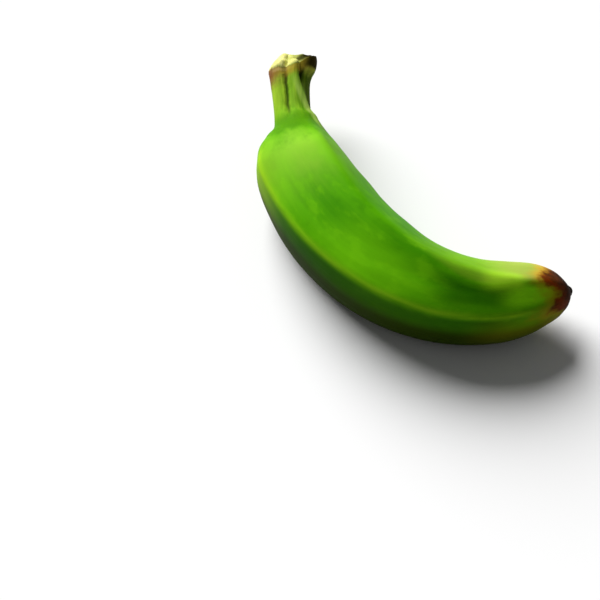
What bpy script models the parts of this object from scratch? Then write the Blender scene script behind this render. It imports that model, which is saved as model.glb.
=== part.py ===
"""A green plantain lying on its side: one solid fruit with its stem, crown and blossom nib.

Metres, +Z up. The stem end and the blossom end lie along +X and the outer curve faces -Y.
The flat spot that the fruit lies on is in the plane z = 0.
"""

import bmesh
import bpy
import numpy as np
from mathutils import Vector, geometry

MM = 0.001

# ---- Driving dimensions, in millimetres -----------------------------------------------------

# Middle line in plan: the stem end, two bending handles and the blossom end.
STEM_END = (0.0, 0.0)
STEM_HANDLE = (75.5, -79.5)
TIP_HANDLE = (154.5, -64.5)
TIP_END = (176.6, -1.8)

BODY_HEIGHT = 22.7      # middle line above the table along the body
STEM_LIFT = 15.0        # how much higher the stem end stands
STEM_LIFT_LENGTH = 80.0
TIP_DROP = 4.0          # how much lower the thinner tip end lies
TIP_DROP_START = 100.0
TIP_DROP_LENGTH = 90.0

# Section stations: distance along the middle line, half-width on the outer side,
# half-width on the inner side, half-height.
STATIONS = (
    (0.0, 10.6, 10.4, 9.8),
    (10.0, 10.6, 11.2, 9.8),
    (20.0, 9.2, 9.0, 9.0),
    (32.0, 8.4, 8.8, 8.8),
    (41.0, 9.0, 11.4, 10.4),
    (50.0, 15.0, 15.2, 14.6),
    (60.0, 21.4, 18.6, 19.2),
    (74.0, 24.2, 21.6, 22.6),
    (96.0, 24.0, 23.8, 23.8),
    (122.0, 23.0, 23.8, 23.6),
    (150.0, 21.4, 21.6, 21.8),
    (176.0, 19.0, 19.0, 19.2),
    (194.0, 16.6, 17.4, 17.0),
    (205.0, 13.4, 15.2, 14.0),
    (212.5, 8.6, 12.6, 9.8),
    (216.6, 4.0, 6.4, 4.8),
)

# Lengthwise ridges: angle from straight up at the stem and at the tip (positive towards
# the outer curve), height at the stem and at the tip as a share of the radius, and height
# of the narrow rib along the crest.
RIDGES = (
    (57.0, 55.0, 0.120, 0.120, 0.030),
    (-26.0, 14.0, 0.060, 0.150, 0.034),
    (-92.0, -80.0, 0.110, 0.090, 0.025),
    (-148.0, -145.0, 0.110, 0.100, 0.028),
    (132.0, 134.0, 0.080, 0.080, 0.024),
)
RIDGE_NARROWNESS = 14.0
RIB_NARROWNESS = 90.0
RIB_START = 48.0            # the ribs rise out of the shoulder from here
RIB_FULL = 66.0
PLAIN_SHARE = 0.938         # the oval between the ridges, as a share of the half-widths

# The stem is angular, with one strong ridge and a groove beside it.
STEM_RIDGE_TOP = -20.0       # the ridge turns from this angle by the crown
STEM_RIDGE_FOOT = -62.0      # to this one by the shoulder
STEM_RIDGE = 0.18
STEM_GROOVE_ANGLE = 20.0
STEM_GROOVE = 0.10
STEM_TOP = 36.0
STEM_FOOT = 52.0

# Crown: the cushion left on the stem where the fruit was broken from its hand.
CROWN_CUT_NEAR = 15.0       # the slanting break starts here on its near side
CROWN_CUT_FAR = 6.5         # and ends here on its far side
CROWN_CUT_ANGLE = 48.0      # the near side, from straight up towards the outer curve
CROWN_REACH = 34.0          # the stem is undisturbed beyond this distance
CROWN_LOBES = ((-72.0, 0.04), (140.0, 0.12))    # angle and share of the radius
KNOB_ANGLE = -70.0          # a rounded knob at the side of the crown
KNOB_PLACE = 9.0
KNOB_LENGTH = 6.5
KNOB = 0.17
FOLD_START = -20.0          # the fold beside the knob wanders round the stem
FOLD_END = -38.0
FOLD_PLACE = 9.0
FOLD_LENGTH = 12.0
FOLD = 0.38
FLESH_MIDDLE = 8.0
FLESH_DOME = 4.0            # how far the torn flesh stands out of the break
FLESH_ROUGHNESS = 0.7

# Blossom nib: it sits nearer the outer curve.
NIB_SHIFT = 2.4
NIB_SHIFT_START = 203.0
NIB_SHIFT_END = 219.0
NIB_RADIUS = 2.4
NIB_LENGTH = 1.9

# Mesh fineness.
SIDES = 56
RING_SPACING = ((0.0, 1.5), (24.0, 3.0), (60.0, 4.6), (185.0, 3.2), (205.0, 2.0))


def middle_line(samples=400):
    """Points of the middle line at equal steps, their distances, and the frames along it."""
    corners = [Vector((x, y, 0.0)) for x, y in (STEM_END, STEM_HANDLE, TIP_HANDLE, TIP_END)]
    plan = np.array(geometry.interpolate_bezier(*corners, samples))
    run = np.concatenate(([0.0], np.cumsum(np.linalg.norm(np.diff(plan, axis=0), axis=1))))
    rest = np.clip(1.0 - run / STEM_LIFT_LENGTH, 0.0, 1.0)
    drop = np.clip((run - TIP_DROP_START) / TIP_DROP_LENGTH, 0.0, 1.0)
    plan[:, 2] = BODY_HEIGHT + STEM_LIFT * rest ** 2 - TIP_DROP * drop ** 2 * (3.0 - 2.0 * drop)
    return plan, run


LINE, RUN = middle_line()
LENGTH = RUN[-1]


def frame_at(distance):
    """Centre, forward, up and outward directions of the section at a distance."""
    def point(at):
        return np.array([np.interp(at, RUN, LINE[:, k]) for k in range(3)])

    step = 1.0
    low = min(max(distance - step, 0.0), LENGTH - 2.0 * step)
    forward = point(low + 2.0 * step) - point(low)
    forward /= np.linalg.norm(forward)
    centre = point(min(max(distance, 0.0), LENGTH))
    centre = centre + forward * (distance - min(max(distance, 0.0), LENGTH))
    up = np.array([0.0, 0.0, 1.0]) - forward * forward[2]
    up /= np.linalg.norm(up)
    return centre, forward, up, np.cross(forward, up)


def smooth_through(distance, stations, values):
    """A curve through the stations that never swings past them."""
    stations = np.asarray(stations)
    values = np.asarray(values)
    step = np.diff(stations)
    slope = np.diff(values) / step
    tangent = np.zeros(len(values))
    for k in range(1, len(values) - 1):
        if slope[k - 1] * slope[k] > 0.0:
            before = 2.0 * step[k] + step[k - 1]
            after = step[k] + 2.0 * step[k - 1]
            tangent[k] = (before + after) / (before / slope[k - 1] + after / slope[k])
    tangent[0] = slope[0]
    tangent[-1] = slope[-1]
    at = np.clip(distance, stations[0], stations[-1])
    k = int(np.clip(np.searchsorted(stations, at) - 1, 0, len(step) - 1))
    t = (at - stations[k]) / step[k]
    return (
        values[k] * (1.0 + 2.0 * t) * (1.0 - t) ** 2
        + tangent[k] * step[k] * t * (1.0 - t) ** 2
        + values[k + 1] * t * t * (3.0 - 2.0 * t)
        + tangent[k + 1] * step[k] * t * t * (t - 1.0)
    )


def bump(angle, centre, narrowness):
    """A rounded rise of height 1 at one angle round the section, in degrees."""
    return np.exp(narrowness * (np.cos(np.radians(angle - centre)) - 1.0))


def smooth_step(value, low, high):
    """A soft step from 0 to 1 as the value goes from low to high."""
    share = np.clip((value - low) / (high - low), 0.0, 1.0)
    return share * share * (3.0 - 2.0 * share)


def section_factor(distance, angle):
    """How far the skin stands out of a plain oval, with the ridges and the crown's lobes."""
    share = np.clip(distance / LENGTH, 0.0, 1.0)
    fade = np.clip((LENGTH - distance) / 30.0, 0.12, 1.0)
    ribs = smooth_step(distance, RIB_START, RIB_FULL)
    factor = PLAIN_SHARE
    for at_stem, at_tip, low, high, rib in RIDGES:
        centre = at_stem + (at_tip - at_stem) * share ** 2
        height = low + (high - low) * share
        factor += fade * height * bump(angle, centre, RIDGE_NARROWNESS)
        factor += fade * rib * ribs * bump(angle, centre, RIB_NARROWNESS)

    crown = np.clip(1.0 - distance / CROWN_REACH, 0.0, 1.0)
    for centre, height in CROWN_LOBES:
        factor += height * crown * bump(angle, centre, 5.0)
    knob = KNOB * np.exp(-((distance - KNOB_PLACE) / KNOB_LENGTH) ** 2)
    factor += knob * bump(angle, KNOB_ANGLE, 7.0)
    fold_angle = FOLD_START + (FOLD_END - FOLD_START) * smooth_step(distance, 2.0, 14.0)
    fold = FOLD * np.exp(-((distance - FOLD_PLACE) / FOLD_LENGTH) ** 2)
    factor -= fold * bump(angle, fold_angle, 30.0)

    on_stem = 1.0 - smooth_step(distance, STEM_TOP, STEM_FOOT)
    turned = smooth_step(distance, 16.0, 46.0)
    ridge_angle = STEM_RIDGE_TOP + (STEM_RIDGE_FOOT - STEM_RIDGE_TOP) * turned
    factor += on_stem * STEM_RIDGE * bump(angle, ridge_angle, 30.0)
    factor -= on_stem * STEM_GROOVE * bump(angle, STEM_GROOVE_ANGLE, 90.0)
    return factor


def nib_shift(distance):
    """How far the section is moved towards the outer curve."""
    return NIB_SHIFT * smooth_step(distance, NIB_SHIFT_START, NIB_SHIFT_END)


def skin_point(distance, angle):
    """A point of the skin, in millimetres, pressed flat where it meets the table."""
    centre, _, up, outward = frame_at(distance)
    centre = centre + outward * nib_shift(distance)
    along = [row[0] for row in STATIONS]
    outer, inner, height = (
        smooth_through(distance, along, [row[k] for row in STATIONS]) for k in (1, 2, 3)
    )
    turn = np.radians(angle)
    width = outer if np.sin(turn) > 0.0 else inner
    factor = section_factor(distance, angle)
    point = centre + factor * (up * height * np.cos(turn) + outward * width * np.sin(turn))
    point[2] = max(point[2], 0.0)
    return point


def break_line(angle):
    """Distance along the stem at which the slanting break cuts each side."""
    turn = np.cos(np.radians(angle - CROWN_CUT_ANGLE))
    slope = smooth_step(turn, -0.6, 0.7)
    cut = CROWN_CUT_FAR + (CROWN_CUT_NEAR - CROWN_CUT_FAR) * slope
    return cut + 0.6 * np.sin(np.radians(5.0 * angle))


def ring_distances():
    """Where the rings stand: close together at the crown and at the tip."""
    last = STATIONS[-1][0]
    starts = [row[0] for row in RING_SPACING] + [last]
    distances = []
    for k, (start, spacing) in enumerate(RING_SPACING):
        count = max(1, round((starts[k + 1] - start) / spacing))
        distances += [start + (starts[k + 1] - start) * n / count for n in range(count)]
    return distances + [last]


def plantain_rings():
    """All rings of the skin, from the middle of the break to the end of the nib."""
    angles = [360.0 * n / SIDES for n in range(SIDES)]
    rings = []
    for distance in ring_distances():
        ring = []
        for angle in angles:
            cut = break_line(angle)
            squeeze = (CROWN_REACH - cut) / CROWN_REACH
            along = distance if distance >= CROWN_REACH else cut + distance * squeeze
            ring.append(skin_point(along, angle))
        rings.append(np.array(ring))

    # The broken face: the first ring drawn in towards its middle, domed and lumpy.
    rim = rings[0]
    middle, forward, up, _ = frame_at(FLESH_MIDDLE)
    outside = up * 0.75 - forward * 0.66
    face = []
    for share in (0.92, 0.74, 0.55, 0.36, 0.18):
        lift = FLESH_DOME * (1.0 - share ** 2) ** 0.7
        ring = []
        for k, angle in enumerate(angles):
            turn = np.radians(angle)
            tear = FLESH_ROUGHNESS * np.sin(2.0 * turn + 5.0 * share) * share
            tear += 0.5 * FLESH_ROUGHNESS * np.sin(5.0 * turn + 9.0 * share) * share
            ring.append(middle + (rim[k] - middle) * share + outside * (lift + tear))
        face.append(np.array(ring))
    rings = face[::-1] + rings

    # The nib: a short dry stub standing on the tip.
    centre, forward, up, outward = frame_at(STATIONS[-1][0])
    centre = centre + outward * nib_shift(STATIONS[-1][0])
    for advance, radius in ((0.7, 1.15), (1.2, 1.0), (NIB_LENGTH, 0.95), (NIB_LENGTH + 0.3, 0.5)):
        ring = []
        for angle in angles:
            turn = np.radians(angle)
            reach = NIB_RADIUS * radius * (1.0 + 0.12 * np.cos(3.0 * turn))
            ring.append(
                centre + forward * advance
                + reach * (up * np.cos(turn) + outward * np.sin(turn))
            )
        rings.append(np.array(ring))
    return rings


def loft(bm, rings):
    """Skin the rings with quads and close both ends with a fan to a middle point."""
    rows = [[bm.verts.new(Vector(point) * MM) for point in ring] for ring in rings]
    for near, far in zip(rows, rows[1:]):
        for k in range(SIDES):
            after = (k + 1) % SIDES
            bm.faces.new((near[k], near[after], far[after], far[k]))
    for row in (rows[0], rows[-1]):
        hub = bm.verts.new(sum((vert.co for vert in row), Vector()) / SIDES)
        for k in range(SIDES):
            bm.faces.new((row[k], row[(k + 1) % SIDES], hub))
    bmesh.ops.recalc_face_normals(bm, faces=bm.faces[:])


def peel_material():
    """Waxy green peel."""
    material = bpy.data.materials.new("peel")
    material.use_nodes = True
    shader = material.node_tree.nodes["Principled BSDF"]
    shader.inputs["Base Color"].default_value = (0.078, 0.265, 0.006, 1.0)
    shader.inputs["Roughness"].default_value = 0.42
    shader.inputs["Metallic"].default_value = 0.0
    return material


def build():
    for obj in list(bpy.data.objects):
        bpy.data.objects.remove(obj, do_unlink=True)

    bm = bmesh.new()
    loft(bm, plantain_rings())

    # Centre the fruit on its bounding box in plan, so the origin is under its middle.
    points = np.array([vert.co for vert in bm.verts])
    middle = 0.5 * (points.min(axis=0) + points.max(axis=0))
    bmesh.ops.translate(bm, verts=bm.verts[:], vec=(-middle[0], -middle[1], 0.0))

    mesh = bpy.data.meshes.new("plantain")
    bm.to_mesh(mesh)
    bm.free()
    mesh.materials.append(peel_material())
    mesh.shade_smooth()
    mesh.set_sharp_from_angle(angle=np.radians(50.0))
    fruit = bpy.data.objects.new("plantain", mesh)
    bpy.context.scene.collection.objects.link(fruit)


build()
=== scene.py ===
"""A whole green plantain on a pale studio floor."""
import math

import bpy
from mathutils import Matrix, Vector
from mathutils.geometry import interpolate_bezier


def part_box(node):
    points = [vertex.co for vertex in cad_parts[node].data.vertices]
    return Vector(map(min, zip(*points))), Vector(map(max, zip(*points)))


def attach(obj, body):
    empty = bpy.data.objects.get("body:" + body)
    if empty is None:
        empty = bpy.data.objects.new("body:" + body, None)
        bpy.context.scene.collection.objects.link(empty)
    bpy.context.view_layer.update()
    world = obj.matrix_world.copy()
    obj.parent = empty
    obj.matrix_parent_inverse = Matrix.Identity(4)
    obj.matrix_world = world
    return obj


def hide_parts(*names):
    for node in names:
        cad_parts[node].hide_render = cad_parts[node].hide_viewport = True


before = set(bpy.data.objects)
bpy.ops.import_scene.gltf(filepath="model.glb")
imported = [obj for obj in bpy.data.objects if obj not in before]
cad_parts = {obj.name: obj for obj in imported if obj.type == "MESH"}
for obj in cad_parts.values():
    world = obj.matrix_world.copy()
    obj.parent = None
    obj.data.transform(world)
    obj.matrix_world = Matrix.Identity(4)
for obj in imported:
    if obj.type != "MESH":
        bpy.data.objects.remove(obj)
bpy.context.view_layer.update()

MM = 0.001
scene = bpy.context.scene


# ---- Writing node trees ---------------------------------------------------------------------

class Value:
    """A socket of a node tree that sums can be written on."""

    def __init__(self, tree, socket):
        self.tree = tree
        self.socket = socket

    def __add__(self, other):
        return self.tree.maths("ADD", self, other)

    def __radd__(self, other):
        return self.tree.maths("ADD", other, self)

    def __sub__(self, other):
        return self.tree.maths("SUBTRACT", self, other)

    def __rsub__(self, other):
        return self.tree.maths("SUBTRACT", other, self)

    def __mul__(self, other):
        return self.tree.maths("MULTIPLY", self, other)

    def __rmul__(self, other):
        return self.tree.maths("MULTIPLY", other, self)

    def __truediv__(self, other):
        return self.tree.maths("DIVIDE", self, other)

    def __rtruediv__(self, other):
        return self.tree.maths("DIVIDE", other, self)

    def __neg__(self):
        return self.tree.maths("MULTIPLY", self, -1.0)


class Tree:
    """Adds nodes to one node tree."""

    def __init__(self, tree):
        self.tree = tree

    def node(self, kind, settings=None, sockets=None):
        """A node of a type with its settings, then the values or links of its sockets."""
        made = self.tree.nodes.new(kind)
        for name, setting in (settings or {}).items():
            if name == "profile":
                curve = made.mapping.curves[0]
                while len(curve.points) < len(setting):
                    curve.points.new(0.5, 0.5)
                for point, place in zip(curve.points, setting):
                    point.location = place
                    point.handle_type = "AUTO_CLAMPED"
                made.mapping.update()
            else:
                setattr(made, name, setting)
        for name, value in (sockets or {}).items():
            if isinstance(value, Value):
                self.tree.links.new(value.socket, made.inputs[name])
            else:
                made.inputs[name].default_value = value
        return made

    def out(self, kind, settings=None, sockets=None, output=0):
        """One output of a new node."""
        return Value(self, self.node(kind, settings, sockets).outputs[output])

    def maths(self, operation, *terms):
        """A number worked out from others."""
        return self.out("ShaderNodeMath", {"operation": operation}, dict(enumerate(terms)))

    def cosine(self, angle):
        """Cosine of an angle in degrees."""
        return self.maths("COSINE", self.maths("RADIANS", angle))

    def sine(self, angle):
        """Sine of an angle in degrees."""
        return self.maths("SINE", self.maths("RADIANS", angle))

    def vectors(self, operation, *terms):
        """A vector worked out from others."""
        return self.out(
            "ShaderNodeVectorMath", {"operation": operation}, dict(enumerate(terms))
        )

    def scaled(self, vector, amount):
        """A vector times a number."""
        return self.out(
            "ShaderNodeVectorMath", {"operation": "SCALE"}, {0: vector, "Scale": amount}
        )

    def xyz(self, x, y, z):
        """Three numbers as a vector."""
        return self.out("ShaderNodeCombineXYZ", None, {0: x, 1: y, 2: z})

    def parts(self, vector):
        """The three numbers of a vector."""
        split = self.node("ShaderNodeSeparateXYZ", None, {0: vector})
        return [Value(self, output) for output in split.outputs]

    def smooth(self, value, low, high, start=0.0, end=1.0):
        """A soft step from start to end as the value goes from low to high."""
        return self.out(
            "ShaderNodeMapRange", {"interpolation_type": "SMOOTHSTEP"},
            {0: value, 1: low, 2: high, 3: start, 4: end},
        )

    def between(self, value, start, full, last, end):
        """A soft window: it rises from start to full and falls from last to end."""
        return self.smooth(value, start, full) * self.smooth(value, end, last)

    def profile(self, factor, points):
        """A smooth curve through points, from 0 to 1 both ways."""
        return self.out("ShaderNodeFloatCurve", {"profile": points}, {"Value": factor})

    def bump(self, angle, centre, narrowness):
        """A rounded rise of height 1 at one angle round the fruit, in degrees."""
        return self.maths("EXPONENT", (self.cosine(angle - centre) - 1.0) * narrowness)

    def hump(self, distance, middle, length):
        """A rounded rise of height 1 at one distance along the fruit."""
        off = (distance - middle) / length
        return self.maths("EXPONENT", -(off * off))

    def noise(self, vector, scale, detail=2.0, roughness=0.5, distortion=0.0, seed=0.0):
        """A soft random pattern between 0 and 1, the same each time for one seed."""
        return self.out(
            "ShaderNodeTexNoise", {"noise_dimensions": "4D"},
            {"Vector": vector, "W": seed, "Scale": scale, "Detail": detail,
             "Roughness": roughness, "Distortion": distortion},
        )

    def mix_number(self, factor, first, second):
        """First number to second number."""
        return first + (second - first) * factor

    def over(self, base, tint, share, strength):
        """A tint laid over a base colour, as strongly as its share here times a strength."""
        return self.mix(share * strength, base, tint)

    def mix(self, factor, first, second):
        """First colour to second colour."""
        mixed = self.node("ShaderNodeMix", {"data_type": "RGBA"}, {"Factor": factor})
        for socket, value in (("A_Color", first), ("B_Color", second)):
            target = next(s for s in mixed.inputs if s.identifier == socket)
            if isinstance(value, Value):
                self.tree.links.new(value.socket, target)
            else:
                target.default_value = (*value, 1.0)
        result = next(s for s in mixed.outputs if s.identifier == "Result_Color")
        return Value(self, result)


def colour(red, green, blue):
    """A display colour, 0 to 255, as linear light."""
    def channel(level):
        """One channel by the standard display curve."""
        level /= 255.0
        return level / 12.92 if level <= 0.04045 else ((level + 0.055) / 1.055) ** 2.4
    return tuple(channel(level) for level in (red, green, blue))


# ---- The fruit's sizes, in millimetres ------------------------------------------------------

STEM_END = (0.0, 0.0, 0.0)
STEM_HANDLE = (75.5, -79.5, 0.0)
TIP_HANDLE = (154.5, -64.5, 0.0)
TIP_END = (176.6, -1.8, 0.0)
SKIN_LENGTH = 218.8

# Distance along the middle line, outer half-width, inner half-width, half-height.
STATIONS = (
    (0.0, 10.6, 10.4, 9.8),
    (10.0, 10.6, 11.2, 9.8),
    (20.0, 9.2, 9.0, 9.0),
    (32.0, 8.4, 8.8, 8.8),
    (41.0, 9.0, 11.4, 10.4),
    (50.0, 15.0, 15.2, 14.6),
    (60.0, 21.4, 18.6, 19.2),
    (74.0, 24.2, 21.6, 22.6),
    (96.0, 24.0, 23.8, 23.8),
    (122.0, 23.0, 23.8, 23.6),
    (150.0, 21.4, 21.6, 21.8),
    (176.0, 19.0, 19.0, 19.2),
    (194.0, 16.6, 17.4, 17.0),
    (205.0, 13.4, 15.2, 14.0),
    (212.5, 8.6, 12.6, 9.8),
    (216.6, 4.0, 6.4, 4.8),
    (217.3, 2.8, 3.2, 2.8),
    (217.9, 2.4, 2.4, 2.4),
    (218.5, 2.2, 2.2, 2.2),
    (218.8, 1.3, 1.3, 1.3),
)
WIDEST = 30.0

# Where the rings stand, as shares: close together at the crown and at the tip.
RING_PLACES = ((0.0, 0.0), (0.28, 0.14), (0.5, 0.40), (0.78, 0.86), (0.9, 0.96), (1.0, 1.0))

# Ridges: angle from straight up at the stem and at the tip, height at the stem and the tip,
# and the height of the narrow rib along the crest.
RIDGES = (
    (57.0, 55.0, 0.120, 0.120, 0.030),
    (-26.0, 14.0, 0.060, 0.150, 0.034),
    (-92.0, -80.0, 0.110, 0.090, 0.025),
    (-148.0, -145.0, 0.110, 0.100, 0.028),
    (132.0, 134.0, 0.080, 0.080, 0.024),
)
UPPER_RIDGE = 1             # the one that ends nearest the top
RIB_NARROWNESS = 110.0
CREST_NARROWNESS = 220.0

# The ribs rise where the stem meets the shoulder, and every ridge fades over the last of the tip.
RIBS_START = 48.0
RIBS_FULL = 66.0
TIP_FADE = 30.0
TIP_FADE_LEAST = 0.12

# The nib sits nearer the outer curve.
NIB_SHIFT_START = 203.0
NIB_SHIFT_END = 219.0

# The break slants between these cosines of the angle from its near side, and its teeth stand up
# to this many millimetres above and below one another.
CUT_FAR_SIDE = -0.6
CUT_NEAR_SIDE = 0.7
CUT_TEETH = 4.0

# The crown swells on two sides, and one knob stands out just under the break. The fold beside
# the knob turns round the stem as it goes down.
LOBE_ANGLE = -72.0
BACK_LOBE_ANGLE = 140.0
LOBE_NARROWNESS = 5.0
KNOB_PLACE = 9.0
KNOB_LENGTH = 6.5
KNOB_ANGLE = -70.0
KNOB_NARROWNESS = 7.0
FOLD_PLACE = 9.0
FOLD_LENGTH = 12.0
FOLD_NARROWNESS = 30.0
FOLD_TOP = 2.0
FOLD_FOOT = 14.0
FOLD_TOP_ANGLE = -20.0
FOLD_FOOT_ANGLE = -38.0

# The stem's own ridge and furrows are full up to the first place and gone by the second. The
# ridge turns round the stem between its top and its foot.
STEM_FULL = 36.0
STEM_GONE = 52.0
STEM_RIDGE_TOP = 16.0
STEM_RIDGE_FOOT = 46.0
STEM_RIDGE_TOP_ANGLE = -20.0
STEM_RIDGE_FOOT_ANGLE = -62.0
STEM_RIDGE_NARROWNESS = 30.0
GROOVE_ANGLE = 20.0
GROOVE_WANDER = 16.0
GROOVE_NARROWNESS = 90.0
GROOVE_FULL = 34.0
GROOVE_GONE = 46.0
# How strongly the groove is painted with shade, as a share of the fold.
GROOVE_SHADE_SHARE = 0.45

# What the sizes of the swellings and furrows are multiplied by, and where the swellings and the
# warts are full.
SWELL_SPAN = 6.0
SWELL_START = 30.0
SWELL_FULL = 70.0
FURROW_SPAN = 5.0
WARTS_FULL = 26.0
WARTS_GONE = 34.0
WART_ANGLE = 34.0
WART_NARROWNESS = 14.0
WART_HEIGHT = 0.6

# The broken face: which way its dome rises, as shares of up and of back past the stem's end, and
# how its height leans to one side.
FACE_UP = 0.75
FACE_BACK = 0.66
DOME_ROUNDNESS = 0.7
DOME_LEVEL = 0.85
DOME_RISE = 1.8
DOME_RISE_ANGLE = 85.0
DOME_DIP = 0.9
DOME_DIP_ANGLE = -80.0
DOME_NARROWNESS = 1.5
FIBRE_HEIGHT = 1.3
LUMP_HEIGHT = 6.0
TORN_SHARE = 0.90

# How finely the skin and its middle line are cut. Levels this near an end of the tube, and
# shares of its radius under the rim's, belong to the face that closes it.
ROUND_STEPS = 216
LENGTH_STEPS = 300
FACE_STEPS = 22
LINE_STEPS = 200
END_LEVEL = 0.0005
RIM_SHARE = 0.9999

SIZES = {
    "Stem end": STEM_END, "Stem handle": STEM_HANDLE,
    "Tip handle": TIP_HANDLE, "Tip end": TIP_END,
    "Body height": 22.7, "Stem lift": 15.0, "Stem lift length": 80.0,
    "Tip drop": 4.0, "Tip drop start": 100.0, "Tip drop length": 90.0,
    "Ridge narrowness": 14.0, "Plain share": 0.938,
    "Cut near": 15.0, "Cut far": 6.5, "Cut angle": 48.0, "Crown reach": 34.0,
    "Lobe": 0.04, "Back lobe": 0.12, "Knob": 0.17, "Fold": 0.38,
    "Flesh middle": 8.0, "Flesh dome": 4.0, "Flesh tear": 0.9,
    "Nib shift": 2.4, "Stem ridge": 0.18, "Stem groove": 0.12,
    "Swell": 0.25, "Furrow": 0.25, "Seed": 4.0,
}


# ---- The peel as a geometry tree --------------------------------------------------------------

class Tube:
    """A straight closed tube of radius 1, with the place on the fruit of each of its points."""

    def __init__(self, t, size):
        made = t.node(
            "GeometryNodeMeshCylinder", {"fill_type": "TRIANGLE_FAN"},
            {"Vertices": ROUND_STEPS, "Side Segments": LENGTH_STEPS,
             "Fill Segments": FACE_STEPS, "Radius": 1.0, "Depth": 1.0},
        )
        self.mesh = Value(t, made.outputs["Mesh"])
        x, y, z = t.parts(t.out("GeometryNodeInputPosition"))
        self.share = t.maths("MINIMUM", t.maths("SQRT", x * x + y * y), 1.0)
        self.angle = t.maths("DEGREES", t.maths("ARCTAN2", y, x))
        self.cosine = t.cosine(self.angle)
        self.sine = t.sine(self.angle)
        self.level = z + 0.5
        self.ring = t.profile(self.level, RING_PLACES) * SKIN_LENGTH

        # The slanting, ragged break draws the rings of the crown together.
        way_round = t.xyz(self.cosine, self.sine, 0.0)
        teeth = t.noise(way_round, scale=2.6, detail=4.0, roughness=0.6, seed=size["Seed"])
        slope = t.smooth(t.cosine(self.angle - size["Cut angle"]), CUT_FAR_SIDE, CUT_NEAR_SIDE)
        cut = size["Cut far"] + (size["Cut near"] - size["Cut far"]) * slope
        cut = cut + (teeth - 0.5) * CUT_TEETH
        reach = size["Crown reach"]
        drawn = cut + self.ring * (reach - cut) / reach
        in_crown = t.maths("LESS_THAN", self.ring, reach)
        self.along = in_crown * drawn + (1.0 - in_crown) * self.ring
        self.place = self.along / SKIN_LENGTH


def middle_line(t, size):
    """A function that gives the middle line's centre and directions at any distance."""
    line = t.out("GeometryNodeCurvePrimitiveBezierSegment", {"mode": "POSITION"}, {
        "Resolution": LINE_STEPS, "Start": size["Stem end"], "Start Handle": size["Stem handle"],
        "End Handle": size["Tip handle"], "End": size["Tip end"],
    })

    def lifted(distance):
        """The line's point at a distance, lifted at the stem and lowered at the tip."""
        spot = t.node("GeometryNodeSampleCurve", {"mode": "LENGTH", "data_type": "FLOAT"},
                      {"Curves": line, "Length": distance})
        x, y, _ = t.parts(Value(t, spot.outputs["Position"]))
        rest = t.maths("MAXIMUM", 1.0 - distance / size["Stem lift length"], 0.0)
        drop = t.smooth(distance, size["Tip drop start"],
                        size["Tip drop start"] + size["Tip drop length"])
        height = size["Body height"] + size["Stem lift"] * rest * rest - size["Tip drop"] * drop
        return t.xyz(x, y, height)

    def section(distance):
        """Centre, forward, up and outward directions at a distance, also past the ends."""
        inner = t.maths("MINIMUM", t.maths("MAXIMUM", distance, 1.0), LINE_LENGTH - 1.0)
        chord = t.vectors("SUBTRACT", lifted(inner + 1.0), lifted(inner - 1.0))
        forward = t.vectors("NORMALIZE", chord)
        centre = t.vectors("ADD", lifted(inner), t.scaled(forward, distance - inner))
        _, _, climb = t.parts(forward)
        upright = t.vectors("SUBTRACT", (0.0, 0.0, 1.0), t.scaled(forward, climb))
        up = t.vectors("NORMALIZE", upright)
        return centre, forward, up, t.vectors("CROSS_PRODUCT", forward, up)

    return section


def half_widths(t, tube):
    """Half-width to the point's own side and half-height of the section, from the stations."""
    outer, inner, height = (
        t.profile(tube.place, [(row[0] / SKIN_LENGTH, row[k] / WIDEST) for row in STATIONS])
        * WIDEST
        for k in (1, 2, 3)
    )
    outer_side = t.maths("GREATER_THAN", tube.sine, 0.0)
    return outer_side * outer + (1.0 - outer_side) * inner, height


def with_ridges(t, size, tube, radius):
    """The share of the radius with its ridges, and how near each point is to a crest."""
    fade = t.maths("MINIMUM", (SKIN_LENGTH - tube.along) / TIP_FADE, 1.0)
    fade = t.maths("MAXIMUM", fade, TIP_FADE_LEAST)
    ribs_from = t.smooth(tube.along, RIBS_START, RIBS_FULL)
    crest = 0.0
    for at_stem, at_tip, low, high, rib in RIDGES:
        middle = at_stem + (at_tip - at_stem) * tube.place * tube.place
        broad = t.bump(tube.angle, middle, size["Ridge narrowness"])
        broad = broad * (low + (high - low) * tube.place)
        narrow = t.bump(tube.angle, middle, RIB_NARROWNESS)
        radius = radius + fade * (broad + narrow * ribs_from * rib)
        line = t.bump(tube.angle, middle, CREST_NARROWNESS)
        crest = t.maths("MAXIMUM", crest, line * ribs_from)
    return radius, crest * fade


def with_crown(t, size, tube, radius):
    """The share of the radius with the crown's lobes and knob, and the fold cut beside them."""
    crown = t.maths("MAXIMUM", 1.0 - tube.along / size["Crown reach"], 0.0)
    lobe = t.bump(tube.angle, LOBE_ANGLE, LOBE_NARROWNESS)
    back_lobe = t.bump(tube.angle, BACK_LOBE_ANGLE, LOBE_NARROWNESS)
    radius = radius + size["Lobe"] * crown * lobe + size["Back lobe"] * crown * back_lobe
    knob = t.bump(tube.angle, KNOB_ANGLE, KNOB_NARROWNESS)
    knob = t.hump(tube.along, KNOB_PLACE, KNOB_LENGTH) * knob
    fold_angle = t.smooth(tube.along, FOLD_TOP, FOLD_FOOT, FOLD_TOP_ANGLE, FOLD_FOOT_ANGLE)
    fold = t.bump(tube.angle, fold_angle, FOLD_NARROWNESS)
    fold = t.hump(tube.along, FOLD_PLACE, FOLD_LENGTH) * fold
    return radius + knob * size["Knob"] - fold * size["Fold"], fold


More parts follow.
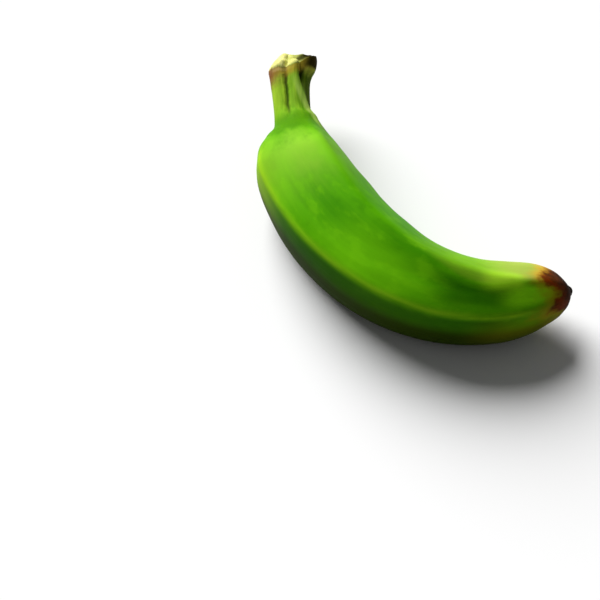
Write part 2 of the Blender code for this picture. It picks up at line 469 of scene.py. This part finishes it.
def with_stem(t, size, tube, radius):
    """The share of the radius with the stem's strong ridge, the groove beside it and the angle."""
    ridge_angle = t.smooth(tube.along, STEM_RIDGE_TOP, STEM_RIDGE_FOOT,
                           STEM_RIDGE_TOP_ANGLE, STEM_RIDGE_FOOT_ANGLE)
    ridge = t.smooth(tube.along, STEM_GONE, STEM_FULL)
    ridge = ridge * t.bump(tube.angle, ridge_angle, STEM_RIDGE_NARROWNESS)
    radius = radius + ridge * size["Stem ridge"]
    wander = t.noise(t.xyz(0.0, 0.0, tube.along), scale=0.12, seed=size["Seed"] + 9.0)
    groove = t.bump(tube.angle + wander * GROOVE_WANDER, GROOVE_ANGLE, GROOVE_NARROWNESS)
    groove = groove * t.smooth(tube.along, GROOVE_GONE, GROOVE_FULL)
    return radius - groove * size["Stem groove"], groove, ridge_angle


def unevenness(t, size, tube, straight):
    """Slow swellings of the body, fine furrows down the stem and a few warts, in millimetres."""
    body = t.vectors("MULTIPLY", straight, (1.0, 1.0, 0.35))
    swell = (t.noise(body, scale=0.055, seed=size["Seed"]) - 0.5) * size["Swell"]
    swell = swell * SWELL_SPAN * t.smooth(tube.along, SWELL_START, SWELL_FULL)
    threads = t.vectors("MULTIPLY", straight, (1.0, 1.0, 0.06))
    furrow = t.noise(threads, scale=0.42, detail=3.0, roughness=0.6, seed=size["Seed"] + 3.0)
    furrow = (furrow - 0.5) * size["Furrow"]
    furrow = furrow * FURROW_SPAN * t.smooth(tube.along, STEM_GONE, STEM_FULL)
    warts = t.noise(straight, scale=0.45, detail=1.0, seed=size["Seed"] + 4.0)
    warts = t.smooth(warts, 0.62, 0.78)
    warts = warts * t.bump(tube.angle, WART_ANGLE, WART_NARROWNESS)
    warts = warts * t.smooth(tube.along, WARTS_GONE, WARTS_FULL)
    return swell + furrow + warts * WART_HEIGHT


def broken_face(t, size, tube, section, skin, straight):
    """The face at the crown: the rim drawn in to its middle, domed, leaning and torn."""
    centre, forward, up, _ = section(size["Flesh middle"])
    out = t.vectors("SUBTRACT", t.scaled(up, FACE_UP), t.scaled(forward, FACE_BACK))
    dome = t.maths("MAXIMUM", 1.0 - tube.share * tube.share, 0.0)
    dome = t.maths("POWER", dome, DOME_ROUNDNESS) * size["Flesh dome"]
    rise = DOME_RISE * t.bump(tube.angle, DOME_RISE_ANGLE, DOME_NARROWNESS)
    dip = DOME_DIP * t.bump(tube.angle, DOME_DIP_ANGLE, DOME_NARROWNESS)
    dome = dome * (DOME_LEVEL + (rise - dip) * tube.share)
    lumps = t.noise(straight, scale=0.13, detail=1.0, distortion=0.3, seed=size["Seed"] + 6.0)
    fibres = t.noise(straight, scale=0.55, detail=4.0, roughness=0.65, distortion=0.6,
                     seed=size["Seed"] + 7.0)
    torn = (fibres - 0.5) * FIBRE_HEIGHT + (lumps - 0.5) * LUMP_HEIGHT
    torn = torn * size["Flesh tear"]
    torn = torn * t.smooth(tube.share, 1.0, TORN_SHARE)
    return t.vectors("ADD", centre, t.vectors(
        "ADD",
        t.scaled(t.vectors("SUBTRACT", skin, centre), tube.share),
        t.scaled(t.vectors("NORMALIZE", out), dome + torn),
    ))


def choose(t, switch, no, yes):
    """One of two places, by a switch."""
    return t.out("GeometryNodeSwitch", {"input_type": "VECTOR"},
                 {"Switch": switch, "False": no, "True": yes})


def skin_inputs(group):
    """The named inputs of the tree, one for each size, as values."""
    for name, size in SIZES.items():
        kind = "NodeSocketVector" if isinstance(size, tuple) else "NodeSocketFloat"
        group.interface.new_socket(name, in_out="INPUT", socket_type=kind)
    t = Tree(group)
    inputs = t.node("NodeGroupInput")
    return t, {name: Value(t, inputs.outputs[name]) for name in SIZES}


def peel_tree(material):
    """The whole skin: a closed tube bent along the middle line and shaped section by section."""
    group = bpy.data.node_groups.new("plantain skin", "GeometryNodeTree")
    group.is_modifier = True
    group.interface.new_socket("Geometry", in_out="OUTPUT", socket_type="NodeSocketGeometry")
    t, size = skin_inputs(group)
    tube = Tube(t, size)
    section = middle_line(t, size)
    centre, _, up, outward = section(tube.along)
    aside = t.smooth(tube.along, NIB_SHIFT_START, NIB_SHIFT_END) * size["Nib shift"]
    centre = t.vectors("ADD", centre, t.scaled(outward, aside))

    width, height = half_widths(t, tube)
    radius, crest = with_ridges(t, size, tube, size["Plain share"])
    radius, fold = with_crown(t, size, tube, radius)
    radius, groove, ridge_angle = with_stem(t, size, tube, radius)

    # Straightened coordinates, in millimetres: round the fruit in x and y, along it in z.
    depth = size["Flesh middle"] + (tube.along - size["Flesh middle"]) * tube.share
    straight = t.xyz(tube.cosine * height * tube.share, tube.sine * width * tube.share, depth)

    push = unevenness(t, size, tube, straight)
    skin = t.vectors("ADD", centre, t.vectors(
        "ADD",
        t.scaled(up, tube.cosine * (height * radius + push)),
        t.scaled(outward, tube.sine * (width * radius + push)),
    ))

    # The crown end is closed by the broken face and the tip by a plain one.
    inside_rim = t.maths("LESS_THAN", tube.share, RIM_SHARE)
    is_face = t.maths("LESS_THAN", tube.level, END_LEVEL) * inside_rim
    is_end = t.maths("GREATER_THAN", tube.level, 1.0 - END_LEVEL) * inside_rim
    broken = broken_face(t, size, tube, section, skin, straight)
    closing = t.scaled(t.vectors("SUBTRACT", skin, centre), tube.share)
    closing = t.vectors("ADD", centre, closing)
    shaped = choose(t, is_end, choose(t, is_face, skin, broken), closing)

    # Pressed flat where it lies on the table, in metres.
    x, y, z = t.parts(shaped)
    final = t.scaled(t.xyz(x, y, t.maths("MAXIMUM", z, 0.0)), MM)

    geometry = tube.mesh
    stored = (
        ("straight", "FLOAT_VECTOR", straight),
        ("along", "FLOAT", tube.along),
        ("around", "FLOAT", tube.angle),
        ("crest", "FLOAT", crest),
        # The fold and, more weakly, the groove, for painted shade in the finish.
        ("hollow", "FLOAT", t.maths("MAXIMUM", fold, groove * GROOVE_SHADE_SHARE)),
        ("flesh", "FLOAT", is_face),
        ("rim", "FLOAT", tube.ring),
        ("outward", "FLOAT", tube.share),
        ("past_ridge", "FLOAT", ridge_angle - tube.angle),
    )
    for name, kind, value in stored:
        geometry = t.out(
            "GeometryNodeStoreNamedAttribute", {"data_type": kind, "domain": "POINT"},
            {"Geometry": geometry, "Name": name, "Value": value},
        )
    placed = t.out("GeometryNodeSetPosition", None, {"Geometry": geometry, "Position": final})
    smooth = t.out("GeometryNodeSetShadeSmooth", None, {"Geometry": placed, "Shade Smooth": True})
    real = t.out("GeometryNodeRealizeInstances", None, {"Geometry": smooth})
    painted = t.out("GeometryNodeSetMaterial", None, {"Geometry": real, "Material": material})
    output = t.node("NodeGroupOutput")
    group.links.new(painted.socket, output.inputs["Geometry"])
    return group


def line_length():
    """Length of the middle line in plan."""
    corners = [Vector(point) for point in (STEM_END, STEM_HANDLE, TIP_HANDLE, TIP_END)]
    points = interpolate_bezier(*corners, 400)
    return sum((after - before).length for before, after in zip(points, points[1:]))


LINE_LENGTH = line_length()


# ---- The colours of the skin --------------------------------------------------------------------

LEAF = colour(62, 138, 3)
LEAF_BRIGHT = colour(92, 172, 5)
CLOUD_PALE = colour(112, 186, 14)
CLOUD_DARK = colour(44, 116, 2)
STREAK_PALE = colour(116, 184, 20)
STREAK_DARK = colour(36, 100, 2)
# From here to the crest colour, all but the nose green are painted light and shade; the straw is
# also the tip's own paler colour.
LIT_MIDDLE_LIME = colour(118, 200, 14)
SHOULDER_HIGHLIGHT = colour(156, 208, 56)
LIT_BAND_OLIVE = colour(140, 178, 40)
FACE_PAINTED_SHADE = colour(24, 88, 2)
LIT_STRAW = colour(180, 176, 92)
SHADE_LINE = colour(30, 70, 2)
NOSE_GREEN = colour(124, 200, 16)
TIP_HIGHLIGHT = colour(184, 250, 40)
CREST_HIGHLIGHT = colour(152, 204, 32)

# Painted shade under the fruit and painted light on its flank by the stem.
BENEATH_PAINTED_SHADE = colour(22, 62, 1)
UNDERSIDE_SHADE_OLIVE = colour(36, 46, 1)
LOW_SIDE_KHAKI = colour(104, 104, 6)
FLANK_LIGHT_YELLOW = colour(156, 188, 20)

STEM_GREEN = colour(88, 140, 10)
STEM_PALE = colour(164, 200, 48)
# Painted shade on the stem's inner side, painted light on its outer side and top.
STEM_INNER_SHADE = colour(66, 66, 12)
STEM_OUTER_LIGHT = colour(178, 204, 62)
STEM_TOP_HIGHLIGHT = colour(176, 214, 70)
NECK_GREEN = colour(72, 130, 6)
# A painted highlight along the stem's ridge and painted shade on its side past the ridge.
STEM_RIDGE_HIGHLIGHT = colour(196, 226, 110)
DIM_SIDE_SHADE = colour(72, 84, 20)
# A painted highlight on the lobe, brown where it is dried.
LOBE_HIGHLIGHT = colour(226, 216, 92)
LOBE_BROWN = colour(120, 92, 24)
# Painted shade in the fold and the groove.
HOLLOW_PAINTED_SHADE = colour(20, 36, 5)

FRINGE_OLIVE = colour(128, 116, 8)
FRINGE_AMBER = colour(214, 156, 40)
RUST = colour(108, 30, 3)
RUST_DARK = colour(64, 16, 6)
NIB_BLACK = colour(24, 14, 8)

PITH = colour(176, 184, 76)
PITH_PALE = colour(220, 220, 132)
PITH_DRIED = colour(112, 92, 20)
FIBRE_BROWN = colour(132, 112, 34)
# Painted shade and a painted highlight on the two sides of the broken face.
PITH_PAINTED_SHADE = colour(92, 104, 20)
PITH_HIGHLIGHT_CREAM = colour(252, 246, 158)
EDGE_STRAW = colour(176, 156, 46)
EDGE_BROWN = colour(140, 84, 18)
LIP_CREAM = colour(240, 220, 134)
BRUISE_BROWN = colour(128, 74, 52)
CROWN_SIDE_BLACK = colour(34, 24, 8)

# Where the patches of colour lie: each begins, is full, starts to fade and ends. Places along
# the fruit are millimetres from the stem or back from the tip. Places round it are degrees from
# straight up, positive towards the outer curve, or degrees past the stem's ridge.
MIDDLE_ALONG = (105.0, 126.0, 138.0, 162.0)
MIDDLE_ROUND = (-4.0, 20.0, 48.0, 62.0)
SHOULDER_ALONG = (44.0, 66.0, 62.0, 105.0)
FACE_FROM_TIP = (18.0, 34.0, 50.0, 68.0)
LIT_FROM_TIP = (20.0, 28.0, 36.0, 46.0)
BENEATH_ROUND = (54.0, 66.0, 150.0, 176.0)
FLANK_ALONG = (50.0, 66.0, 66.0, 98.0)
STEM_RIDGE_LIGHT_ALONG = (16.0, 30.0, 42.0, 56.0)
DIM_ALONG = (12.0, 20.0, 38.0, 54.0)
DIM_PAST_RIDGE = (4.0, 20.0, 90.0, 130.0)

# How far the edges of the patches and of the broken rim wander, from one side to the other,
# and how far back from the tip the brown reaches between the ridges, in millimetres.
EDGE_WANDER = 30.0
EDGE_FRAY = 4.0
BROWN_REACH = 8.5

PEEL_SETTINGS = {
    "Subsurface Weight": 0.10, "Subsurface Radius": (0.6, 1.0, 0.2), "Subsurface Scale": 0.002,
    "Specular IOR Level": 0.04, "IOR": 1.3, "Specular Tint": (0.75, 1.0, 0.45, 1.0),
}


# ---- The finish of the skin ---------------------------------------------------------------------

class Surface:
    """What the mesh stores about each point of the skin, and the patterns its parts share."""

    def __init__(self, t):
        self.tree = t
        self.straight = self.stored("straight", vector=True)
        self.along = self.stored("along")
        self.around = self.stored("around")
        self.crest = self.stored("crest")
        self.flesh = self.stored("flesh")
        self.ring = self.stored("rim")
        self.hollow = self.stored("hollow")
        self.outward = self.stored("outward")
        self.past_ridge = self.stored("past_ridge")
        self.to_tip = SKIN_LENGTH - self.along
        self.off_face = 1.0 - self.flesh

        self.patches = t.noise(self.stretched(0.3), scale=0.06, detail=3.0, seed=1.0)
        self.clouds = t.noise(
            self.stretched(0.6), scale=0.13, detail=4.0, roughness=0.6, seed=1.5)
        self.streaks = t.noise(
            self.stretched(0.035), scale=0.45, detail=4.0, roughness=0.6, seed=2.0)
        self.threads = t.noise(
            self.stretched(0.06), scale=0.65, detail=4.0, roughness=0.65, seed=4.0)
        self.strands = t.noise(
            self.straight, scale=0.7, detail=5.0, roughness=0.7, distortion=0.6, seed=6.0)
        dashes = t.noise(
            self.stretched(0.12), scale=0.35, detail=3.0, roughness=0.6, seed=3.0)
        dried = t.noise(self.straight, scale=0.25, detail=4.0, roughness=0.6, seed=7.0)
        self.dashes = t.smooth(dashes, 0.30, 0.60)
        self.dried = t.smooth(dried, 0.55, 0.70)
        self.wander = (self.clouds - 0.5) * EDGE_WANDER
        self.fray = (self.strands - 0.5) * EDGE_FRAY
        self.stem = t.smooth(self.along + self.wander * 0.4, 54.0, 28.0)

    def stored(self, name, vector=False):
        """A value stored on the mesh."""
        settings = {"attribute_name": name}
        return self.tree.out("ShaderNodeAttribute", settings, None, 1 if vector else 2)

    def stretched(self, lengthwise):
        """The straightened place with its length shortened, so that patterns run along."""
        return self.tree.vectors("MULTIPLY", self.straight, (1.0, 1.0, lengthwise))


def body_green(t, skin):
    """Green, mottled in long soft patches, with fine streaks along the fruit and painted light in
    the middle.
    """
    green = t.mix(t.smooth(skin.patches, 0.30, 0.70), LEAF, LEAF_BRIGHT)
    green = t.over(green, CLOUD_PALE, t.smooth(skin.clouds, 0.50, 0.66), strength=0.40)
    green = t.over(green, CLOUD_DARK, t.smooth(skin.clouds, 0.48, 0.34), strength=0.35)
    green = t.over(green, STREAK_PALE, t.smooth(skin.streaks, 0.48, 0.75), strength=0.15)
    green = t.over(green, STREAK_DARK, t.smooth(skin.streaks, 0.50, 0.25), strength=0.15)
    # Painted light, lime, on the middle of the upper face.
    middle = t.between(skin.along, *MIDDLE_ALONG) * t.between(skin.around, *MIDDLE_ROUND)
    return t.over(green, LIT_MIDDLE_LIME, middle, strength=0.45)


def highlit_shoulder(t, skin, green):
    """The shoulder below the stem is painted yellow-green and lighter as a highlight, less so on
    its outer ridge and inner side.
    """
    shoulder = t.between(skin.along + skin.wander, *SHOULDER_ALONG)
    shoulder = shoulder * (1.0 - 0.45 * t.bump(skin.around, centre=48.0, narrowness=12.0))
    shoulder = shoulder * (1.0 - 0.50 * t.smooth(skin.around, -4.0, -22.0))
    return t.over(green, SHOULDER_HIGHLIGHT, shoulder, strength=0.60)


def tip_facets(t, skin, green):
    """By the tip: a band inside the upper ridge painted light and, near the tip, paler; a face
    beside it painted as shade.
    """
    at_stem, at_tip = RIDGES[UPPER_RIDGE][:2]
    upper = at_stem + (at_tip - at_stem) / SKIN_LENGTH ** 2 * skin.along * skin.along
    upper = upper + 12.0 * t.hump(skin.to_tip, middle=45.0, length=17.0)
    past_upper = skin.around - upper

    # The band is painted light; near the tip the straw is both painted light and the tip's own
    # paler colour.
    lit_band = t.smooth(past_upper, 4.0, -4.0) * t.smooth(skin.around, -130.0, -90.0)
    green = t.over(green, LIT_BAND_OLIVE, lit_band * t.smooth(skin.to_tip, 100.0, 30.0), strength=0.50)
    # Painted shade on the face just outside the upper ridge.
    face = t.smooth(past_upper, 2.0, 12.0) * t.smooth(skin.around, 60.0, 34.0)
    face = face * t.between(skin.to_tip, *FACE_FROM_TIP)
    green = t.over(green, FACE_PAINTED_SHADE, face, strength=0.80)
    green = t.over(green, LIT_STRAW, lit_band * t.smooth(skin.to_tip, 48.0, 20.0), strength=0.50)

    # A thin line of painted shade just outside the upper ridge.
    line = t.bump(past_upper, centre=5.0, narrowness=900.0) * t.smooth(skin.to_tip, 58.0, 36.0)
    green = t.over(green, SHADE_LINE, line, strength=0.40)
    nose = t.smooth(skin.to_tip, 38.0, 26.0) * t.smooth(past_upper, 4.0, 16.0)
    nose = nose * t.smooth(skin.around, 52.0, 38.0)
    green = t.over(green, NOSE_GREEN, nose, strength=0.70)
    # A painted highlight along the top near the tip.
    lit = t.bump(skin.around, centre=8.0, narrowness=60.0)
    return t.over(green, TIP_HIGHLIGHT, lit * t.between(skin.to_tip, *LIT_FROM_TIP), strength=0.60)


def ridge_highlights(t, skin, green):
    """A broken pale line painted on the ridge crests as a highlight, except on the top."""
    off_top = 1.0 - t.bump(skin.around, centre=-10.0, narrowness=6.0)
    line = skin.crest * skin.crest * (0.35 + 0.65 * skin.dashes) * off_top
    return t.over(green, CREST_HIGHLIGHT, line, strength=0.58)


def shaded_underside(t, skin, green):
    """The lower side painted darker olive as shade, a flank by the stem painted lighter and
    yellower as light, and a khaki side by the tip.
    """
    # Painted shade on the lower side, darkest near the bottom.
    beneath = t.between(skin.around, *BENEATH_ROUND)
    beneath = beneath * t.smooth(skin.along, 52.0, 104.0) * t.smooth(skin.to_tip, 18.0, 40.0)
    green = t.over(green, BENEATH_PAINTED_SHADE, beneath, strength=0.75)
    under = t.smooth(t.bump(skin.around, centre=148.0, narrowness=1.2), 0.34, 0.68)
    green = t.over(green, UNDERSIDE_SHADE_OLIVE, under, strength=0.90)
    low_side = t.bump(skin.around, centre=92.0, narrowness=6.0)
    low_side = low_side * t.smooth(skin.to_tip, 50.0, 30.0)
    green = t.over(green, LOW_SIDE_KHAKI, low_side, strength=0.50)
    # Painted light on the flank by the stem.
    lit_flank = t.bump(skin.around, centre=72.0, narrowness=10.0)
    return t.over(green, FLANK_LIGHT_YELLOW, lit_flank * t.between(skin.along, *FLANK_ALONG), strength=0.40)


def fibrous_stem(t, skin, green):
    """The stem: paler, olive and fibrous, with a green neck; painted light and shade on its sides,
    ridge, lobe and hollows.
    """
    fibrous = t.mix(t.smooth(skin.threads, 0.36, 0.64), STEM_GREEN, STEM_PALE)
    # Painted shade on the stem's inner side, painted light on its outer side and a painted
    # highlight on its top.
    for tint, centre, narrowness, strength in (
        (STEM_INNER_SHADE, -86.0, 5.0, 0.80),
        (STEM_OUTER_LIGHT, 56.0, 5.0, 0.60),
        (STEM_TOP_HIGHLIGHT, -8.0, 9.0, 0.35),
    ):
        fibrous = t.over(fibrous, tint, t.bump(skin.around, centre, narrowness), strength)
    green = t.over(green, fibrous, skin.stem, strength=0.80)

    neck = t.smooth(skin.along + skin.wander * 0.3, 62.0, 46.0)
    green = t.over(green, NECK_GREEN, neck * t.smooth(skin.along, 34.0, 46.0), strength=0.90)
    # A painted highlight along the stem's ridge.
    stem_ridge_light = t.smooth(t.maths("ABSOLUTE", skin.past_ridge + 6.0), 15.0, 3.0)
    stem_ridge_light = stem_ridge_light * t.between(skin.along, *STEM_RIDGE_LIGHT_ALONG) * (0.5 + 0.5 * skin.dashes)
    green = t.over(green, STEM_RIDGE_HIGHLIGHT, stem_ridge_light, strength=0.60)
    # Painted shade on the stem's side past its ridge.
    dim = t.between(skin.past_ridge, *DIM_PAST_RIDGE) * t.between(skin.along, *DIM_ALONG)
    green = t.over(green, DIM_SIDE_SHADE, dim, strength=0.60)

    # A painted highlight on the lobe, brown where it is dried.
    lobe = t.bump(skin.around, centre=-58.0, narrowness=14.0)
    lobe = lobe * t.smooth(skin.along, 19.0, 11.0)
    green = t.over(green, t.mix(skin.dried, LOBE_HIGHLIGHT, LOBE_BROWN), lobe, strength=0.85)
    # Painted shade in the fold and the groove.
    hollow = t.smooth(skin.hollow, 0.06, 0.55) * skin.off_face
    return t.over(green, HOLLOW_PAINTED_SHADE, hollow, strength=0.95)


def blossom_end(t, skin, green):
    """An amber fringe, red-brown, then a nearly black tip; and how brown each point is."""
    coarse = t.noise(skin.straight, scale=0.12, detail=4.0, roughness=0.6, seed=5.0)
    fine = t.noise(skin.stretched(0.3), scale=0.5, detail=3.0, roughness=0.6, seed=5.5)
    ragged = (coarse - 0.5) * 14.0 + (fine - 0.5) * 7.0
    reach = BROWN_REACH + 9.0 * t.bump(skin.around, centre=4.0, narrowness=10.0)
    reach = reach + 8.0 * t.bump(skin.around, centre=64.0, narrowness=16.0) + ragged
    past_reach = skin.to_tip - reach
    amber = past_reach + 2.0 * t.bump(skin.around, centre=-10.0, narrowness=3.0)
    inner_side = t.smooth(skin.around, 20.0, -8.0) * t.smooth(skin.around, -120.0, -80.0)
    fringe = t.mix(inner_side, FRINGE_OLIVE, FRINGE_AMBER)
    green = t.over(green, fringe, t.smooth(amber, 10.0, 0.0), strength=0.80)

    brown = t.smooth(past_reach, 2.0, -4.0)
    spots = t.noise(skin.stretched(0.4), scale=0.28, detail=4.0, roughness=0.65, seed=9.0)
    rust = t.mix(t.smooth(spots, 0.40, 0.66), RUST, RUST_DARK)
    green = t.over(green, rust, brown, strength=0.95)
    black = t.smooth(skin.to_tip + ragged * 0.5, 11.0, 2.0)
    return t.over(green, NIB_BLACK, black, strength=0.95), brown


def crown_edge(t, skin, green):
    """The skin round the break: a straw and brown edge, a cream lip and a brown bruise."""
    frayed = skin.ring + skin.fray
    edge = t.smooth(frayed, 10.0, 3.0) * skin.off_face
    green = t.over(green, t.mix(skin.dried, EDGE_STRAW, EDGE_BROWN), edge, strength=0.85)
    lip = t.bump(skin.around, centre=52.0, narrowness=5.0) * t.smooth(frayed, 4.0, 1.5)
    green = t.over(green, LIP_CREAM, lip * skin.off_face, strength=0.80)
    bruise = t.bump(skin.around, centre=76.0, narrowness=2.8)
    bruise = bruise * t.smooth(skin.along + skin.fray * 2.0, 27.0, 18.0) * skin.off_face
    return t.over(green, BRUISE_BROWN, bruise, strength=0.95)


def torn_flesh(t, skin):
    """The broken face: pale pith with dry fibres, painted shade on one side and a painted cream
    highlight on the other.
    """
    pith = t.mix(t.smooth(skin.strands, 0.35, 0.65), PITH, PITH_PALE)
    pith = t.over(pith, PITH_DRIED, skin.dried, strength=0.75)
    pith = t.over(pith, FIBRE_BROWN, t.smooth(skin.strands, 0.56, 0.72), strength=0.45)
    far_side = t.bump(skin.around, centre=-78.0, narrowness=2.5)
    pith = t.over(pith, PITH_PAINTED_SHADE, far_side * t.smooth(skin.outward, 0.12, 0.40), strength=0.85)
    near_side = t.bump(skin.around, centre=64.0, narrowness=2.0)
    return t.over(pith, PITH_HIGHLIGHT_CREAM, near_side * t.smooth(skin.outward, 0.20, 0.50), strength=0.85)


def dark_crown_side(t, skin):
    """How near black one side of the crown is, on the skin and on the broken face."""
    on_skin = t.smooth(skin.ring, 12.0, 4.0)
    on_face = t.smooth(skin.outward, 0.40, 0.75)
    blackness = t.mix_number(skin.flesh, on_skin, on_face)
    return t.smooth(t.bump(skin.around, centre=-88.0, narrowness=3.0) * blackness, 0.25, 0.65)


def peel_finish():
    """Waxy green peel with painted highlights on its ridges and painted light and shade, a fibrous
    stem, a torn crown and a browned tip.
    """
    material = bpy.data.materials.new("waxy peel")
    material.use_nodes = True
    t = Tree(material.node_tree)
    skin = Surface(t)

    green = body_green(t, skin)
    for laid in (highlit_shoulder, tip_facets, ridge_highlights, shaded_underside, fibrous_stem):
        green = laid(t, skin, green)
    green, brown = blossom_end(t, skin, green)
    green = crown_edge(t, skin, green)
    finish = t.mix(skin.flesh, green, torn_flesh(t, skin))
    finish = t.over(finish, CROWN_SIDE_BLACK, dark_crown_side(t, skin), strength=0.95)

    rough = 0.52 + (skin.patches - 0.5) * 0.12
    rough = rough + skin.stem * 0.08 + brown * 0.08 + skin.flesh * 0.25
    pores = t.noise(skin.straight, scale=1.6, detail=3.0, roughness=0.6, seed=8.0)
    height = pores * 0.25 + skin.streaks * 0.8
    height = height + skin.threads * skin.stem * 1.5 + skin.strands * skin.flesh * 2.0
    relief = t.out("ShaderNodeBump", None, {"Strength": 0.35, "Distance": 0.0004, "Height": height})

    shader = material.node_tree.nodes["Principled BSDF"]
    for name, value in (("Base Color", finish), ("Roughness", rough), ("Normal", relief)):
        material.node_tree.links.new(value.socket, shader.inputs[name])
    for name, setting in PEEL_SETTINGS.items():
        shader.inputs[name].default_value = setting
    return material


# ---- Making the pieces ------------------------------------------------------------------------

def grown(name, group, sizes):
    """The result of a geometry tree as a plain mesh object."""
    seed_mesh = bpy.data.meshes.new(name + " start")
    maker = bpy.data.objects.new(name + " maker", seed_mesh)
    scene.collection.objects.link(maker)
    modifier = maker.modifiers.new("shape", "NODES")
    modifier.node_group = group
    for item in group.interface.items_tree:
        if item.item_type == "SOCKET" and item.in_out == "INPUT":
            modifier[item.identifier] = sizes[item.name]
    graph = bpy.context.evaluated_depsgraph_get()
    mesh = bpy.data.meshes.new_from_object(maker.evaluated_get(graph))
    bpy.data.objects.remove(maker, do_unlink=True)
    mesh.name = name
    piece = bpy.data.objects.new(name, mesh)
    scene.collection.objects.link(piece)
    return piece


def centred_in_plan(piece, low, high):
    """Moves the mesh so its box has the same middle as the solid's."""
    xs = [vertex.co.x for vertex in piece.data.vertices]
    ys = [vertex.co.y for vertex in piece.data.vertices]
    across = 0.5 * (low[0] + high[0]) - 0.5 * (min(xs) + max(xs))
    deep = 0.5 * (low[1] + high[1]) - 0.5 * (min(ys) + max(ys))
    piece.data.transform(Matrix.Translation((across, deep, 0.0)))


low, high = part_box("plantain")
skin = grown("plantain_skin", peel_tree(peel_finish()), SIZES)
centred_in_plan(skin, low, high)
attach(skin, "root")
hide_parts("plantain")


# ---- Floor, light and camera ------------------------------------------------------------------

FLOOR_HALF_SIDE = 3.0
PAPER = 0.88                # how much light the paper gives back
SKY_GLOW = 0.12             # the even light from all round
BACKDROP_GLOW = 0.80        # what the empty backdrop adds where it is seen itself


def paper_floor():
    """A wide pale sheet under the fruit."""
    side = FLOOR_HALF_SIDE
    mesh = bpy.data.meshes.new("floor")
    mesh.from_pydata([(-side, -side, 0), (side, -side, 0), (side, side, 0), (-side, side, 0)],
                     [], [(0, 1, 2, 3)])
    floor = bpy.data.objects.new("floor", mesh)
    scene.collection.objects.link(floor)
    material = bpy.data.materials.new("studio paper")
    material.use_nodes = True
    shader = material.node_tree.nodes["Principled BSDF"]
    shader.inputs["Base Color"].default_value = (PAPER, PAPER, PAPER, 1.0)
    shader.inputs["Roughness"].default_value = 0.9
    mesh.materials.append(material)


AZIMUTH = math.radians(46.5)
ELEVATION = math.radians(55.0)
DISTANCE = 0.64
AIM = Vector((0.0004, -0.0452, 0.0))
LENS = 85.0
SENSOR_WIDTH = 36.0

right = Vector((math.cos(AZIMUTH), math.sin(AZIMUTH), 0.0))
near = Vector((math.sin(AZIMUTH), -math.cos(AZIMUTH), 0.0))
back = near * math.cos(ELEVATION) + Vector((0.0, 0.0, math.sin(ELEVATION)))


def daylight(name, across, away, height, strength, spread):
    """A broad even light from one direction, spread in degrees."""
    lamp = bpy.data.lights.new(name, "SUN")
    lamp.energy = strength
    lamp.angle = math.radians(spread)
    holder = bpy.data.objects.new(name, lamp)
    facing = right * across - near * away + Vector((0.0, 0.0, height))
    holder.rotation_euler = facing.to_track_quat("Z", "Y").to_euler()
    scene.collection.objects.link(holder)


paper_floor()
daylight("key", across=-0.44, away=0.68, height=0.60, strength=5.4, spread=45.0)

world = bpy.data.worlds.new("studio")
world.use_nodes = True
backdrop = Tree(world.node_tree)
seen_directly = backdrop.out("ShaderNodeLightPath")
glow = SKY_GLOW + BACKDROP_GLOW * seen_directly
background = world.node_tree.nodes["Background"]
background.inputs["Color"].default_value = (1.0, 1.0, 1.0, 1.0)
world.node_tree.links.new(glow.socket, background.inputs["Strength"])
scene.world = world
scene.view_settings.view_transform = "Standard"

lens = bpy.data.cameras.new("camera")
lens.lens = LENS
lens.sensor_width = SENSOR_WIDTH
lens.clip_start = 0.01
camera = bpy.data.objects.new("camera", lens)
camera.location = AIM + back * DISTANCE
camera.rotation_euler = back.to_track_quat("Z", "Y").to_euler()
scene.collection.objects.link(camera)
scene.camera = camera
